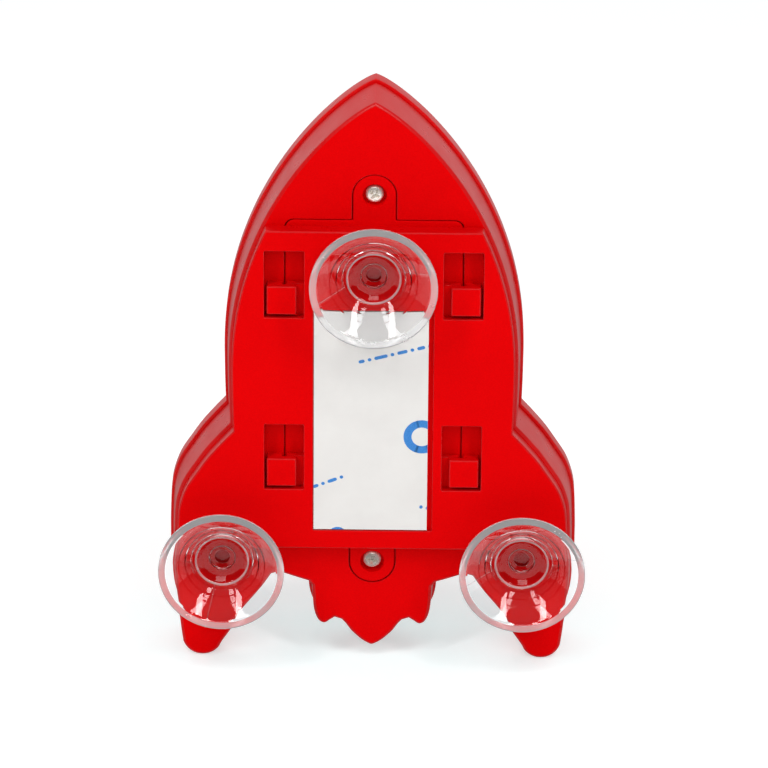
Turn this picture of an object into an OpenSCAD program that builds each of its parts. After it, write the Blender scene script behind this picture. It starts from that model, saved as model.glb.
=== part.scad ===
// Wall-mounted toy rocket lamp: two moulded casing halves, a sliding wall
// bracket with three suction cups and a foam tape pad, a screwed battery
// door and a push-on lens in the front.
// X runs to the right seen from the front, +Y points to the wall side,
// +Z is up. The origin is on the standing surface, under the middle of the
// whole thing. Depths are given from the flat back of the rear casing.

/* [Rocket] */
// Overall height from fin tips to nose
total_h = 197.3; // [195:0.1:199]
// Half width of the fuselage at its widest
fuse_half = 48.6; // [48.2:0.1:49]
// Height at which the nose curve begins
nose_z = 104; // [102:1:106]
// Wall thickness of the casings
wall = 2.2; // [1.8:0.1:2.4]
// Depth of the rear casing, from its back face to the seam
rear_d = 16.5; // [16:0.1:17]
// Depth of the side wall of the front casing, to its front rim
front_d = 24; // [23.5:0.1:24.5]
// Depth of the raised fuselage front
crown_d = 27.5; // [27:0.1:28]

/* [Wall bracket] */
// Thickness of the bracket
br_t = 5; // [4.5:0.1:5]
// Bottom edge of the bracket
br_z0 = 41.9; // [41.4:0.1:42.4]
// Top edge of the bracket
br_z1 = 153.5; // [153:0.1:154.2]
// How far the bracket lies inside the outline of the rocket
br_inset = 2; // [1.6:0.1:2.4]
// Width of a hook window
win_w = 13.2; // [13:0.1:13.4]
// Height of a hook window
win_h = 23.2; // [23.2:0.1:23.8]
// Height of the lower windows' centres
win_lo = 74.55; // [73.5:0.05:75.5]
// Height of the upper windows' centres
win_hi = 135.05; // [134:0.05:136]
// Width of a hook head
hook_w = 9.4; // [9:0.1:9.6]
// Height of a hook head
hook_h = 9.8; // [9.4:0.1:9.9]
// Sideways distance of the windows' centres
win_x = 28.7; // [28.6:0.1:28.9]
// How far the bracket slides
slide = 11.5; // [11:0.1:11.6]

/* [Suction cups] */
// Diameter of the rim
cup_d = 41; // [40:0.5:41]
// Height of the top cup's axis
cup_top_z = 138.8; // [138:0.1:139.4]
// Sideways distance of the lower cups' axes
cup_low_x = 48.8; // [48.4:0.1:49.2]
// Height of the lower cups' axes
cup_low_z = 38.6; // [38.2:0.1:39]

/* [Tape] */
// Width of the foam tape
tape_w = 36.8; // [36:0.1:37]
// Sideways offset of the tape in its recess
tape_x = 0.7; // [0:0.1:0.9]
// Width of the recess
rec_w = 38.6; // [38.4:0.1:39]
// Lower end of the tape
tape_z0 = 48.85; // [48.6:0.05:49.5]
// Upper end of the tape
tape_z1 = 126.05; // [124:0.05:126.3]

/* [Battery door] */
// Half width of the door
door_half = 28.5; // [28.4:0.1:28.6]
// Lower edge of the door
door_z0 = 43.4; // [43:0.1:43.8]
// Upper edge of the door
door_z1 = 155.5; // [155.2:0.1:156]
// Height of the upper door screw
screw_hi = 164; // [163.6:0.1:164.4]
// Height of the lower door screw
screw_lo = 35; // [34.8:0.1:35.6]
// Radius of the screw tabs
tab_r = 7; // [7:0.1:7.2]

/* [Push lens] */
// Height of the lens axis
lens_z = 131; // [131:0.1:131.6]
// Outer radius of the lens
lens_r = 20.7; // [20.3:0.1:20.8]
// Travel of the lens
lens_travel = 1.5; // [1:0.1:1.6]

/* [Hidden] */
$fn = 64;
yb = 7;                 // y of the flat back of the rear casing
seam = 0.15;            // gap at the seam
nose_k = 0.8;
nose_h = total_h - nose_z;

// colours
red = [0.86, 0.02, 0.04];
clear = [0.9, 0.92, 0.95, 0.35];
steel = [0.75, 0.74, 0.7];

// ---- outline of the rocket -------------------------------------------------
// Half width of the nose at height z
function nose_w(z) = fuse_half * pow(max(0, 1 - pow((z - nose_z) / nose_h, 2.1)), nose_k);
// Points on an arc in the x-z plane
function arc(cx, cz, r, a0, a1, n) = [for (i = [0:n]) let(a = a0 + (a1 - a0) * i / n) [cx + r * cos(a), cz + r * sin(a)]];

// Right half of the outline, from the flame's tip up to the nose
flame_half = [[0, 2.3], [1.9, 2.9], [4.2, 4.3], [6.3, 6.2], [8.2, 8.2], [9.7, 10.3], [10.7, 11.7], [11.6, 12.3],
              [12.5, 11.7], [13.9, 10.6], [15.7, 10.1], [18.2, 11], [19.8, 13.3], [20.9, 16.8], [21.3, 21.1]];
under = [[21.5, 25.6], [24.5, 26.6], [28.9, 28.1], [30.9, 28.9]];
fin_in = [[35.3, 23.2], [40.4, 16.4], [43.9, 10.4]];
fin_tip = arc(55.7, 7.6, 7.6, 203, 342, 14);
fin_out = [[64.8, 12], [66, 18.5], [66.5, 25], [66.65, 31], [66.65, 44], [66.2, 53.5], [65.1, 59.6], [62.9, 65],
           [59.7, 70.2], [55.9, 75.6], [51.6, 81]];
nose_pts = [for (t = [0:22]) let(z = nose_z + nose_h * sin(90 * t / 22)) [nose_w(z), z]];
half = concat(flame_half, under, fin_in, fin_tip, fin_out, [[48.3, 84.6], [48.55, 94]], nose_pts);
// the nose ends on the axis, the flame starts on it
last = len(half) - 1;
full = concat([for (i = [0:last]) half[i]], [for (i = [last - 1:-1:1]) [-half[i][0], half[i][1]]]);

// Outline moved inwards by d along its own normals
function nrm(a, b) = let(v = b - a, l = norm(v)) [-v[1], v[0]] / l;
function inset(p, d) = let(n = len(p)) [for (i = [0:n - 1])
    let(n0 = nrm(p[(i + n - 1) % n], p[i]), n1 = nrm(p[i], p[(i + 1) % n]), m = n0 + n1,
        k = d / max(0.75, 1 + n0 * n1)) p[i] + m * k];

// The outline inset by d, with a clean point at the nose
// and no inset at the very tips of the fins, which both halves stand on
function body_in(d) = let(p = inset(full, d)) [for (i = [0:len(full) - 1])
    let(o = full[i], k = abs(o[0]) > 35 ? min(1, max(0.02, o[1] / 13)) : 1)
    if (o[1] < total_h - 14 || abs(o[0]) > 1.7 * d + 0.4 || i == last) i == last ? [0, total_h - 1.35 * d] : o + (p[i] - o) * k];

// Fuselage half width, at any height
function fuse_w(z) = z > nose_z ? nose_w(z) : fuse_half - 17.1 * pow((nose_z - z) / 76, 2);
function fuse_poly(d, z0, z1, n) = let(r = [for (i = [0:n]) let(z = z0 + (z1 - z0) * i / n) [max(0.6, fuse_w(z) - d), z]])
    concat(r, [for (i = [n:-1:0]) [-r[i][0], r[i][1]]]);

// Solid between two depths, from a shape drawn in x and z
module slab(q0, q1) { translate([0, yb - q0, 0]) rotate([90, 0, 0]) linear_extrude(q1 - q0) children(); }
// Round bar along the depth
module bar(x, z, r, q0, q1) { translate([x, yb - q0, z]) rotate([90, 0, 0]) cylinder(r = r, h = q1 - q0); }
module at_hooks() { for (sx = [-1, 1], z = [win_lo, win_hi]) translate([sx * win_x, 0, z]) mirror([sx < 0 ? 1 : 0, 0, 0]) children(); }

// Hollows inside a fin and the flame
fin_hollow = [[37, 30], [45, 19.5], [48.8, 12], [52.4, 6], [58.4, 6], [60.6, 12], [62, 22], [63, 36],
              [62.4, 50], [60.4, 59.5], [55.2, 69], [50, 75.5], [45.6, 77], [44, 70], [39.5, 54], [37, 44]];
flame_hollow = [[-16.9, 34], [-16.7, 19], [-14, 17.5], [-11.5, 17], [-8, 15.5], [-5, 11.8], [0, 8.8],
                [5, 11.8], [8, 15.5], [11.5, 17], [14, 17.5], [16.7, 19], [16.9, 34]];
boss_xz = [[40, 101], [51, 54], [-40, 101], [-51, 54]];

// ---- rear casing -----------------------------------------------------------
cell_r = 7.1;
cell_p = 15.2;
cell_z = 54.4;
tub_z0 = 45.6;
tub_z1 = 108.4;
tub_q = 17;

module door_shape(g) {
    translate([-door_half - g, door_z0 - g]) square([2 * (door_half + g), door_z1 - door_z0 + 2 * g]);
    translate([0, screw_hi]) circle(r = tab_r + g);
    translate([-tab_r - g, door_z1 - 2]) square([2 * (tab_r + g), screw_hi - door_z1 + 2]);
    translate([0, screw_lo]) circle(r = tab_r + g);
    translate([-tab_r - g, screw_lo]) square([2 * (tab_r + g), door_z0 - screw_lo + 2]);
}

module hook() {
    // stem, rooted beside the door, and the head that reaches over it
    translate([0.5, yb - 0.2, 1.3 - win_h / 2]) cube([5, br_t - 0.1, hook_h]);
    translate([-3.7, yb + 2.5, 1.3 - win_h / 2]) cube([hook_w, br_t - 2.5, hook_h]);
}

module rear_casing() {
    color(red) {
        difference() {
            union() {
                difference() {
                    union() {
                        slab(0, 8) polygon(body_in(1.6));
                        slab(7.9, rear_d) polygon(body_in(1));
                    }
                    slab(wall, rear_d + 1) polygon(fuse_poly(wall + 1.7, 33.5, 186, 40));
                    // hollow fins
                    for (s = [0, 1]) mirror([s, 0, 0]) slab(wall, rear_d + 1)
                        polygon(fin_hollow);
                    // hollow flame
                    slab(wall, rear_d + 1) polygon(flame_hollow);
                }
                // recessed seat of the battery door
                intersection() {
                    slab(wall, 2 * wall) door_shape(1.6);
                    slab(0, rear_d) polygon(body_in(1.8));
                }
                // battery tub
                slab(wall, tub_q + 1.5) translate([-30.6, tub_z0 - 1.6]) square([61.2, tub_z1 - tub_z0 + 3.2]);
                // bosses of the two door screws
                for (z = [screw_hi, screw_lo]) bar(0, z, 6.6, wall, 13);
                // bosses of the casing screws
                for (p = boss_xz) bar(p[0], p[1], 4.2, 0.5, rear_d);
            }
            slab(-1, wall) door_shape(0.15);
            slab(-1, tub_q) translate([-28.6, tub_z0]) square([57.2, tub_z1 - tub_z0]);
            // door screw holes
            for (z = [screw_hi, screw_lo]) {
                bar(0, z, 1.5, 0, 12.2);
                bar(0, z, 5.35, 0, 4.35);
            }
            // casing screw holes with their counterbores
            for (p = boss_xz) {
                bar(p[0], p[1], 1.7, -1, rear_d + 1);
                bar(p[0], p[1], 3.2, -1, 9);
            }
            // wire passage in the tub's upper wall
            translate([-28.5, yb - 16.9, tub_z1 - 0.8]) cube([3.5, 2.2, 4]);
        }
        at_hooks() hook();
    }
}

// ---- front casing ----------------------------------------------------------
board_r = 26;
board_a = [90, 210, 330];

module front_casing() {
    color(red) difference() {
        union() {
            difference() {
                union() {
                    slab(rear_d + seam, front_d) polygon(full);
                    slab(front_d - 0.5, crown_d) polygon(fuse_poly(3.4, 36, 186, 44));
                }
                slab(0, front_d - wall) polygon(fuse_poly(wall + 0.6, 33.5, 188, 40));
                slab(front_d - wall - 1, crown_d - wall) polygon(fuse_poly(3.4 + wall, 38.5, 181, 40));
                for (s = [0, 1]) mirror([s, 0, 0]) slab(0, front_d - wall)
                    polygon(fin_hollow);
                slab(0, front_d - wall) polygon(flame_hollow);
            }
            // bosses the casing screws bite into
            for (p = boss_xz) bar(p[0], p[1], 4.2, rear_d + seam, front_d - 1);
            // posts that carry the circuit board
            for (a = board_a) bar(board_r * cos(a), lens_z + board_r * sin(a), 2.6, 20.2, crown_d - 1);
        }
        for (p = boss_xz) bar(p[0], p[1], 1.5, 10, front_d - wall + 0.6);
        for (a = board_a) bar(board_r * cos(a), lens_z + board_r * sin(a), 1.05, 10, crown_d - wall);
        // porthole
        bar(0, lens_z, 22, 20, 40);
    }
}

// ---- battery door and screws ------------------------------------------------
module battery_door() {
    color(red) difference() {
        union() {
            slab(0, wall - 0.15) door_shape(0);
            for (z = [screw_hi, screw_lo]) bar(0, z, 5.2, 0, 4.2);
            // ribs that press on the cells
            for (x = [-12, 12]) translate([x - 0.8, yb - 2.5, tub_z0 + 3]) cube([1.6, 0.6, 55]);
        }
        for (z = [screw_hi, screw_lo]) {
            bar(0, z, 1.7, -1, 5);
            bar(0, z, 3.85, -1, 2.8);
        }
    }
}

// Pan head screw with a cross recess, pointing to the front
module screw(x, z, q, r_head, h_head, r, l) {
    translate([x, yb - q, z]) rotate([90, 0, 0]) difference() {
        union() {
            rotate_extrude() polygon(concat([[0, -h_head]], [for (i = [0:6]) let(a = 90 - 15 * i) [r_head * (0.45 + 0.55 * cos(a)) , -h_head * (0.35 + 0.65 * sin(a))]], [[r_head, 0], [0, 0]]));
            cylinder(r = r, h = l);
        }
        for (a = [0, 90]) rotate([0, 0, a]) translate([-r_head * 0.56, -r_head * 0.13, -h_head - 1]) cube([r_head * 1.12, r_head * 0.26, 1 + h_head * 0.75]);
    }
}
module door_screws() { color(steel) for (z = [screw_hi, screw_lo]) screw(0, z, 2.8, 2.9, 1.85, 1.42, 8.5); }
module casing_screws() { color(steel) for (p = boss_xz) screw(p[0], p[1], 9, 2.8, 1.8, 1.43, 12.6); }
module board_screws() { color(steel) for (a = board_a) screw(board_r * cos(a), lens_z + board_r * sin(a), 18.6, 1.9, 1.2, 1.0, 5.4); }

// ---- wall bracket ----------------------------------------------------------
br_gap = 0.1;
module bracket_shape(d) {
    intersection() {
        polygon(body_in(0.9 + d));
        union() {
            translate([-66, br_z0]) square([132, br_z1 - br_z0]);
            for (s = [-1, 1]) translate([s * cup_low_x, cup_low_z]) circle(r = 10.5 - d);
        }
    }
}
module win_shape(g) { for (sx = [-1, 1], z = [win_lo, win_hi]) translate([sx * win_x - win_w / 2 - g, z - win_h / 2 - g]) square([win_w + 2 * g, win_h + 2 * g]); }

module wall_bracket() {
    color(red) difference() {
        union() {
            difference() {
                slab(-br_t, -br_gap) bracket_shape(br_inset);
                // hollow back with a rim, leaving frames round the windows and seats
                difference() {
                    slab(-br_t + 2.2, 0.5) intersection() {
                        bracket_shape(br_inset + 2);
                        union() {
                            translate([-70, br_z0 + 2]) square([140, br_z1 - br_z0 - 4]);
                            for (s = [-1, 1]) translate([s * cup_low_x, cup_low_z]) circle(r = 8.2);
                        }
                    }
                    slab(-br_t, 1) win_shape(2);
                    for (s = [-1, 1]) bar(s * cup_low_x, cup_low_z, 6.6, -br_t, 1);
                    bar(0, cup_top_z, 6.6, -br_t, 1);
                }
            }
            // seat of the tape
            slab(-br_t + 0.6, -br_t + 3) translate([-rec_w / 2 - 2, tape_z0 - 2.4]) square([rec_w + 4, tape_z1 - tape_z0 + 4.8]);
        }
        // hook windows: open all the way in their upper half, with a ledge
        // that the hook head grips in the lower half of the inner side
        difference() {
            slab(-br_t - 1, 1) win_shape(0);
            for (sx = [-1, 1], z = [win_lo, win_hi]) translate([sx * win_x - (sx > 0 ? 7 : -0.9), yb + br_gap, z - win_h / 2 - 0.5]) cube([6.1, 2.1, win_h / 2 + 0.8]);
        }
        // recess of the tape
        slab(-br_t - 1, -br_t + 1.2) translate([-rec_w / 2, tape_z0 - 0.4]) square([rec_w, tape_z1 - tape_z0 + 0.8]);
        // holes of the three cups, with the room for their heads behind
        for (p = [[0, cup_top_z], [cup_low_x, cup_low_z], [-cup_low_x, cup_low_z]]) {
            bar(p[0], p[1], 2.55, -br_t - 1, 1);
            bar(p[0], p[1], 4.4, -br_t + 2.2, 1);
        }
    }
}

module tape_foam() { color([0.93, 0.93, 0.9]) slab(-br_t + 0.3, -br_t + 1.2) translate([tape_x - tape_w / 2, tape_z0]) square([tape_w, tape_z1 - tape_z0]); }
module tape_liner() { color([0.97, 0.97, 0.96]) slab(-br_t + 0.15, -br_t + 0.3) translate([tape_x - tape_w / 2, tape_z0]) square([tape_w, tape_z1 - tape_z0]); }

// ---- suction cups ----------------------------------------------------------
// Profile by radius and height above the back of the casing
module suction_cup(x, z) {
    r = cup_d / 2;
    color(clear) translate([x, yb, z]) rotate([-90, 0, 0]) rotate_extrude() polygon([
        [0, 0.7], [3.2, 0.7], [3.9, 1.1], [3.9, 2.2], [2.5, 2.7],
        [2.5, 5.1], [6.6, 5.1], [8.0, 5.6], [9.6, 6.6], [12.6, 9.0], [16, 12.4], [18.6, 15.3], [r, 16.6], [r, 17],
        [r - 2.0, 17], [r - 2.6, 16.4], [16.4, 14.9], [13.4, 11.4], [10.6, 9.1], [8.5, 8.0], [0, 8.0]]);
}
module suction_cup_top() { suction_cup(0, cup_top_z); }
module suction_cup_left() { suction_cup(-cup_low_x, cup_low_z); }
module suction_cup_right() { suction_cup(cup_low_x, cup_low_z); }

// ---- cells and contacts -----------------------------------------------------
// side of the plus end, by cell
function plus_side(i) = i % 2 == 0 ? 1 : -1;
module cell(i) {
    s = plus_side(i);
    translate([0, yb - 9.7, cell_z + i * cell_p]) mirror([s < 0 ? 1 : 0, 0, 0]) {
        color([0.1, 0.1, 0.12]) translate([-24.2, 0, 0]) rotate([0, 90, 0]) cylinder(r = cell_r, h = 48.8);
        color([0.8, 0.8, 0.78]) translate([24.6, 0, 0]) rotate([0, 90, 0]) cylinder(r = 2.7, h = 1.4);
    }
}
module battery_1() { cell(0); }
module battery_2() { cell(1); }
module battery_3() { cell(2); }
module battery_4() { cell(3); }

// Swept round wire through given points
function unit(v) = v / norm(v);
function tang(p, i) = unit(p[min(i + 1, len(p) - 1)] - p[max(i - 1, 0)]);
function ring(p, i, r, n, up) = let(t = tang(p, i), u = unit(cross(t, up)), v = cross(t, u)) [for (k = [0:n - 1]) p[i] + r * (cos(360 * k / n) * u + sin(360 * k / n) * v)];
module sweep(p, r, n, up) {
    m = len(p);
    pts = [for (i = [0:m - 1]) each ring(p, i, r, n, up)];
    faces = concat([[for (k = [0:n - 1]) k]],
        [for (i = [0:m - 2], k = [0:n - 1]) [i * n + k, (i + 1) * n + k, (i + 1) * n + (k + 1) % n, i * n + (k + 1) % n]],
        [[for (k = [n - 1:-1:0]) (m - 1) * n + k]]);
    polyhedron(points = pts, faces = faces, convexity = 4);
}
// Coil along +X from x0, narrowing from radius ra to rb
function coil(x0, l, ra, rb, turns, per) = [for (i = [0:turns * per]) let(t = i / (turns * per), r = ra + (rb - ra) * t) [x0 + l * t, r * cos(360 * i / per), r * sin(360 * i / per)]];

module negative_springs() {
    color(steel) for (i = [0:3]) let(s = plus_side(i)) translate([0, yb - 9.7, cell_z + i * cell_p]) mirror([s < 0 ? 1 : 0, 0, 0]) {
        translate([-28.5, -5, -6]) cube([0.5, 10, 12]);
        sweep(coil(-27.7, 2.8, 4.4, 2.6, 3, 16), 0.3, 6, [1, 0.01, 0.02]);
    }
}
module positive_contacts() {
    color(steel) for (i = [0:3]) let(s = plus_side(i)) translate([0, yb - 9.7, cell_z + i * cell_p]) mirror([s < 0 ? 1 : 0, 0, 0]) {
        translate([28, -5, -6]) cube([0.5, 10, 12]);
        translate([26.1, -1.8, -1.8]) cube([1.9, 3.6, 3.6]);
    }
}

// ---- electronics ------------------------------------------------------------
module circuit_board() {
    color([0.1, 0.4, 0.2]) difference() {
        slab(18.6, 20.2) {
            translate([0, lens_z]) circle(r = 21.4);
            for (a = board_a) translate([0, lens_z]) rotate(a) translate([board_r - 8, -3.4]) square([8, 6.8]);
            for (a = board_a) translate([board_r * cos(a), lens_z + board_r * sin(a)]) circle(r = 3.4);
        }
        for (a = board_a) bar(board_r * cos(a), lens_z + board_r * sin(a), 1.2, 15, 25);
    }
}
led_a = [45, 135, 225, 315];
module leds() {
    color([0.95, 0.95, 0.85, 0.8]) for (a = led_a) translate([13.2 * cos(a), yb - 20.2, lens_z + 13.2 * sin(a)]) rotate([90, 0, 0])
        rotate_extrude() polygon(concat([[0, 0], [1.9, 0], [1.9, 0.8], [1.5, 0.8], [1.5, 2.6]], [for (i = [0:6]) [1.5 * cos(15 * i), 2.6 + 1.5 * sin(15 * i)]]));
}
module switch_body() {
    color([0.12, 0.12, 0.13]) difference() {
        translate([-4, yb - 23.7, lens_z - 4]) cube([8, 3.5, 8]);
        translate([-1.6, yb - 30, lens_z - 1.6]) cube([3.2, 8.3, 3.2]);
    }
}
module switch_plunger() {
    color([0.9, 0.9, 0.88]) translate([-1.5, yb - 25.4, lens_z - 1.5]) cube([3, 1.9, 3]);
}
module reflector() {
    color([0.95, 0.95, 0.95]) translate([0, yb - 20.2, lens_z]) rotate([90, 0, 0]) rotate_extrude()
        polygon([[15.8, 0.02], [17.9, 2.4], [17.9, 3.6], [17.2, 3.6], [15.2, 1.2], [15.2, 0.02]]);
}

// ---- push lens ----------------------------------------------------------------
module push_lens() {
    color([0.97, 0.96, 0.9, 0.85]) translate([0, yb, lens_z]) rotate([90, 0, 0]) {
        // skirt with its retaining flange, and the domed front
        rotate_extrude() polygon(concat(
            [[18.9, 22.3], [23, 22.3], [23, 23.9], [lens_r, 23.9], [lens_r, 27.6]],
            [for (i = [0:8]) [lens_r * cos(i * 11.25), 27.6 + 3.2 * sin(i * 11.25)]],
            [[0, 28.9]],
            [for (i = [7:-1:0]) [18.9 * cos(i * 11.25), 26.2 + 2.7 * sin(i * 11.25)]]));
        // post that works the switch
        translate([0, 0, 25.45]) cylinder(r = 2.2, h = 3.9);
    }
}
module lens_bezel() {
    color([0.75, 0.76, 0.78]) translate([0, yb, lens_z]) rotate([90, 0, 0]) rotate_extrude()
        polygon([[21, 24.2], [21.95, 24.2], [21.95, 27.55], [25.4, 27.55], [25.4, 28.6], [24.8, 29.9], [23.6, 30.8], [22.4, 31], [21.4, 30.6], [21, 29.9]]);
}
module return_spring() {
    color(steel) translate([0, yb, lens_z]) rotate([0, 0, -90]) sweep(coil(20.6, 7.6, 8, 8, 4, 18), 0.32, 6, [1, 0.01, 0.02]);
}

// ---- wires -----------------------------------------------------------------
// Routes from the contacts at the two ends of the row of cells to the board
red_route = [[-27.4, yb - 15.3, 101], [-27.5, yb - 15.7, 104], [-27.4, yb - 15.8, 107], [-27.2, yb - 15.8, 110], [-26.4, yb - 15.9, 113],
             [-24.4, yb - 16.2, 116], [-21.5, yb - 16.6, 118.4], [-18.8, yb - 17.1, 120.1], [-17.2, yb - 17.7, 120.9], [-16.8, yb - 18.4, 121]];
black_route = [[-27.3, yb - 15.3, 54.4], [-26.6, yb - 15.6, 57], [-25.9, yb - 15.8, 60], [-25.9, yb - 15.8, 72], [-25.9, yb - 15.8, 90],
               [-25.9, yb - 15.8, 107], [-25.8, yb - 15.8, 110], [-24.8, yb - 15.9, 113], [-22.6, yb - 16.2, 115.6], [-19.4, yb - 16.6, 117.2],
               [-16.4, yb - 17.1, 118], [-14.9, yb - 17.7, 118.3], [-14.5, yb - 18.4, 118.4]];
module red_wire() { color([0.8, 0.1, 0.1]) sweep(red_route, 0.6, 8, [0.05, 1, 0.02]); }
module black_wire() { color([0.1, 0.1, 0.1]) sweep(black_route, 0.6, 8, [0.05, 1, 0.02]); }

rear_casing();
front_casing();
battery_door();
door_screws();
casing_screws();
wall_bracket();
tape_foam();
tape_liner();
suction_cup_top();
suction_cup_left();
suction_cup_right();
battery_1();
battery_2();
battery_3();
battery_4();
negative_springs();
positive_contacts();
circuit_board();
board_screws();
leds();
switch_body();
switch_plunger();
reflector();
push_lens();
return_spring();
lens_bezel();
red_wire();
black_wire();
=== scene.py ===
import math
import bpy
import bmesh
from mathutils import Vector, Matrix, Quaternion, noise


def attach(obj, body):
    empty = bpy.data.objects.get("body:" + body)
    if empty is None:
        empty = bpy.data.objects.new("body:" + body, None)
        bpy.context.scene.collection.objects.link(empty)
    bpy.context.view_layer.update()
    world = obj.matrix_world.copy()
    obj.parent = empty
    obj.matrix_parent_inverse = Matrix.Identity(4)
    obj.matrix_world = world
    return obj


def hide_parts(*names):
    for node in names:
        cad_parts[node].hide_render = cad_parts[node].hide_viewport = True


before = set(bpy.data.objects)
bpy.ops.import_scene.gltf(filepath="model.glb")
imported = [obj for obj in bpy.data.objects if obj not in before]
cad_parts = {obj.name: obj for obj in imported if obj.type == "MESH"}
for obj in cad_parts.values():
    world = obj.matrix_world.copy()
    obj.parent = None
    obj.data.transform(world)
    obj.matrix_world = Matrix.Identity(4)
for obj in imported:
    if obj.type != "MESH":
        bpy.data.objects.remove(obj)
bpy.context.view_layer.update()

scene = bpy.context.scene
MM = 0.001
YB = 7.0          # y of the flat back of the rear casing, mm

# ---------------------------------------------------------------------------
# small helpers
# ---------------------------------------------------------------------------
def P(p, q):
    """Point from x, z and the depth q behind the flat back face, in metres."""
    return Vector((p[0] * MM, (YB - q) * MM, p[1] * MM))


def arc(cx, cz, r, a0, a1, n):
    return [(cx + r * math.cos(math.radians(a0 + (a1 - a0) * i / n)),
             cz + r * math.sin(math.radians(a0 + (a1 - a0) * i / n))) for i in range(n + 1)]


def catmull(pts, step):
    """Smooth open curve through points, resampled evenly."""
    dense = []
    n = len(pts)
    for i in range(n - 1):
        p0 = pts[i - 1] if i else (2 * pts[0][0] - pts[1][0], 2 * pts[0][1] - pts[1][1])
        p1, p2 = pts[i], pts[i + 1]
        p3 = pts[i + 2] if i + 2 < n else (2 * pts[-1][0] - pts[-2][0], 2 * pts[-1][1] - pts[-2][1])
        for k in range(12):
            t = k / 12
            dense.append(tuple(0.5 * ((2 * p1[j]) + (-p0[j] + p2[j]) * t + (2 * p0[j] - 5 * p1[j] + 4 * p2[j] - p3[j]) * t * t
                                      + (-p0[j] + 3 * p1[j] - 3 * p2[j] + p3[j]) * t ** 3) for j in (0, 1)))
    dense.append(pts[-1])
    return resample(dense, step)


def resample(dense, step):
    L = [0.0]
    for a, b in zip(dense, dense[1:]):
        L.append(L[-1] + math.dist(a, b))
    m = max(2, round(L[-1] / step))
    out, j = [], 0
    for i in range(m + 1):
        s = L[-1] * i / m
        while j < len(L) - 2 and L[j + 1] < s:
            j += 1
        t = 0 if L[j + 1] == L[j] else (s - L[j]) / (L[j + 1] - L[j])
        out.append((dense[j][0] + (dense[j + 1][0] - dense[j][0]) * t, dense[j][1] + (dense[j + 1][1] - dense[j][1]) * t))
    return out


def offset(loop, d):
    """Closed counter-clockwise loop moved inwards by d, vertex for vertex."""
    n = len(loop)
    if abs(d) < 1e-9:
        return list(loop)
    out = []
    for i in range(n):
        a, b, c = loop[i - 1], loop[i], loop[(i + 1) % n]
        e0 = (b[0] - a[0], b[1] - a[1]); e1 = (c[0] - b[0], c[1] - b[1])
        l0 = math.hypot(*e0) or 1e-9; l1 = math.hypot(*e1) or 1e-9
        n0 = (-e0[1] / l0, e0[0] / l0); n1 = (-e1[1] / l1, e1[0] / l1)
        m = (n0[0] + n1[0], n0[1] + n1[1])
        k = d / max(0.7, 1 + n0[0] * n1[0] + n0[1] * n1[1])
        out.append((b[0] + m[0] * k, b[1] + m[1] * k))
    return out


def untangle(loop, base, d):
    """Where an inset has folded back on itself, pull the points together."""
    n = len(loop)
    out = list(loop)
    for _ in range(3):
        for i in range(n):
            a, b = out[i], out[(i + 1) % n]
            o = (base[(i + 1) % n][0] - base[i][0], base[(i + 1) % n][1] - base[i][1])
            if (b[0] - a[0]) * o[0] + (b[1] - a[1]) * o[1] < 0:
                m = ((a[0] + b[0]) / 2, (a[1] + b[1]) / 2)
                e = 0.002
                L = math.hypot(*o) or 1e-9
                out[i] = (m[0] - o[0] / L * e, m[1] - o[1] / L * e)
                out[(i + 1) % n] = (m[0] + o[0] / L * e, m[1] + o[1] / L * e)
    return out


def inset(loop, d):
    return untangle(offset(loop, d), loop, d) if d > 0.6 else offset(loop, d)


def ccw(loop):
    s = sum(a[0] * b[1] - b[0] * a[1] for a, b in zip(loop, loop[1:] + loop[:1]))
    return loop if s > 0 else loop[::-1]


def fillet(poly, radii, step=0.5):
    """Closed polygon with its corners rounded. radii: one value, or one for each corner."""
    n = len(poly)
    out = []
    for i in range(n):
        r = radii[i] if isinstance(radii, (list, tuple)) else radii
        p0, p1, p2 = (Vector(poly[i - 1]), Vector(poly[i]), Vector(poly[(i + 1) % n]))
        if r <= 0:
            out.append(tuple(p1)); continue
        u, v = (p0 - p1).normalized(), (p2 - p1).normalized()
        half = math.acos(max(-1, min(1, u.dot(v)))) / 2
        t = r / math.tan(half)
        c = p1 + (u + v).normalized() * (r / math.sin(half))
        a, b = p1 + u * t, p1 + v * t
        a0 = math.atan2(a.y - c.y, a.x - c.x); a1 = math.atan2(b.y - c.y, b.x - c.x)
        da = (a1 - a0 + math.pi) % (2 * math.pi) - math.pi
        k = max(3, int(abs(da) * r / step) + 2)
        out += [(c.x + r * math.cos(a0 + da * j / k), c.y + r * math.sin(a0 + da * j / k)) for j in range(k + 1)]
    return out


def circle(cx, cz, r, n=48):
    return [(cx + r * math.cos(2 * math.pi * i / n), cz + r * math.sin(2 * math.pi * i / n)) for i in range(n)]


def rounded(loop, r, q0, way, hole=False, n=5):
    """Rings that round an edge over from the cap at depth q0. way is +1 towards the front."""
    s = -1 if hole else 1
    return [(inset(loop, s * r * (1 - math.sin(math.pi / 2 * k / n))) if s > 0 else offset(loop, -r * (1 - math.sin(math.pi / 2 * k / n))),
             q0 + way * r * (1 - math.cos(math.pi / 2 * k / n))) for k in range(n + 1)]


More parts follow.
